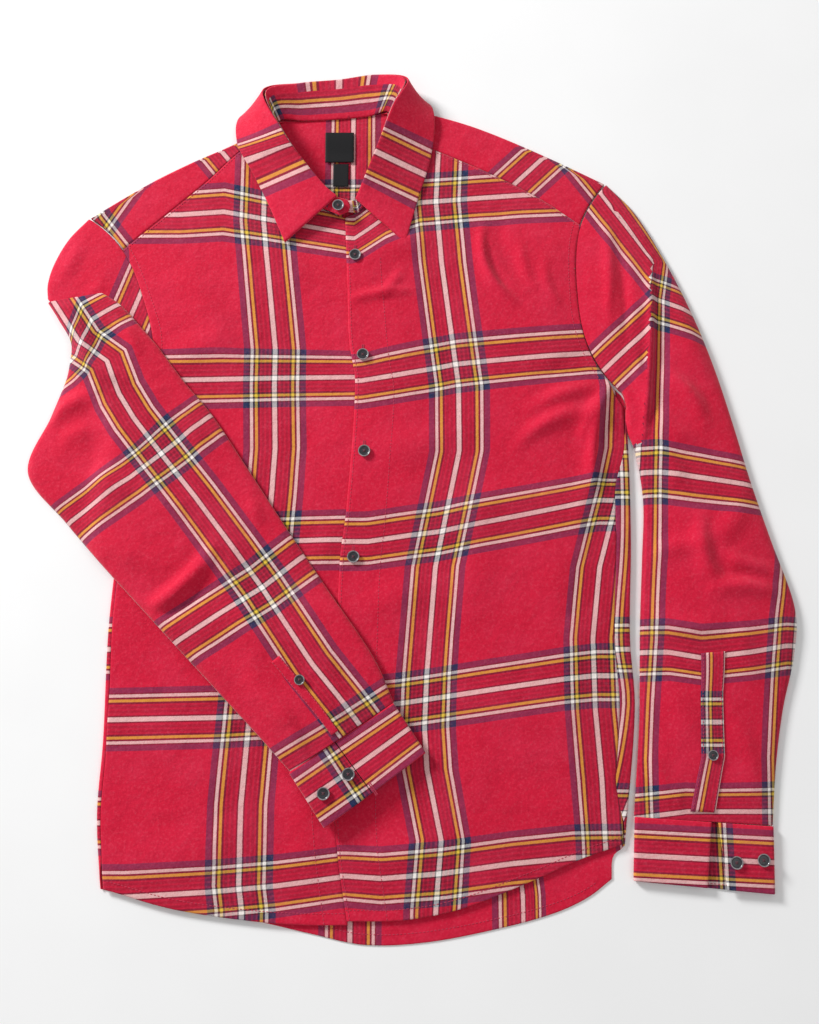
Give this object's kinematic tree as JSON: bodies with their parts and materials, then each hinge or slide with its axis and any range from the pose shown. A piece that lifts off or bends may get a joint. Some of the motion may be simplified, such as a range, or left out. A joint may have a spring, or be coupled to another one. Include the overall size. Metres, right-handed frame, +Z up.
{
  "type": "flannel shirt",
  "caption": "Long-sleeved plaid flannel shirt, buttoned and laid flat front up, one sleeve folded across the front, collar folded down",
  "frame": {"origin": "middle of the laid-out shirt's box, on the surface it rests on", "axes": "+X towards the wearer's left sleeve, +Y from the hem towards the collar, +Z up from the surface it rests on"},
  "size_m": [0.6866, 0.8014, 0.0245],
  "materials": {
    "red_plaid_flannel": "brushed cotton twill, matt",
    "black_label_satin": "woven satin, low sheen",
    "dark_button_resin": "polished resin with a pale rim"
  },
  "bodies": {
    "root": {"back_panel": "red_plaid_flannel", "collar_button": "dark_button_resin", "collar_leaf": "red_plaid_flannel", "collar_stand": "red_plaid_flannel", "front_button_1": "dark_button_resin", "front_button_2": "dark_button_resin", "front_button_3": "dark_button_resin", "front_button_4": "dark_button_resin", "front_button_5": "dark_button_resin", "front_button_6": "dark_button_resin", "left_cuff": "red_plaid_flannel", "left_cuff_button_1": "dark_button_resin", "left_cuff_button_2": "dark_button_resin", "left_front": "red_plaid_flannel", "left_placket_button": "dark_button_resin", "left_sleeve": "red_plaid_flannel", "left_sleeve_placket": "red_plaid_flannel", "neck_label": "black_label_satin", "right_cuff": "red_plaid_flannel", "right_cuff_button_1": "dark_button_resin", "right_cuff_button_2": "dark_button_resin", "right_front": "red_plaid_flannel", "right_placket_button": "dark_button_resin", "right_sleeve_lower": "red_plaid_flannel", "right_sleeve_placket": "red_plaid_flannel", "right_sleeve_upper": "red_plaid_flannel", "size_label": "black_label_satin", "yoke": "red_plaid_flannel"}
  },
  "joints": []
}
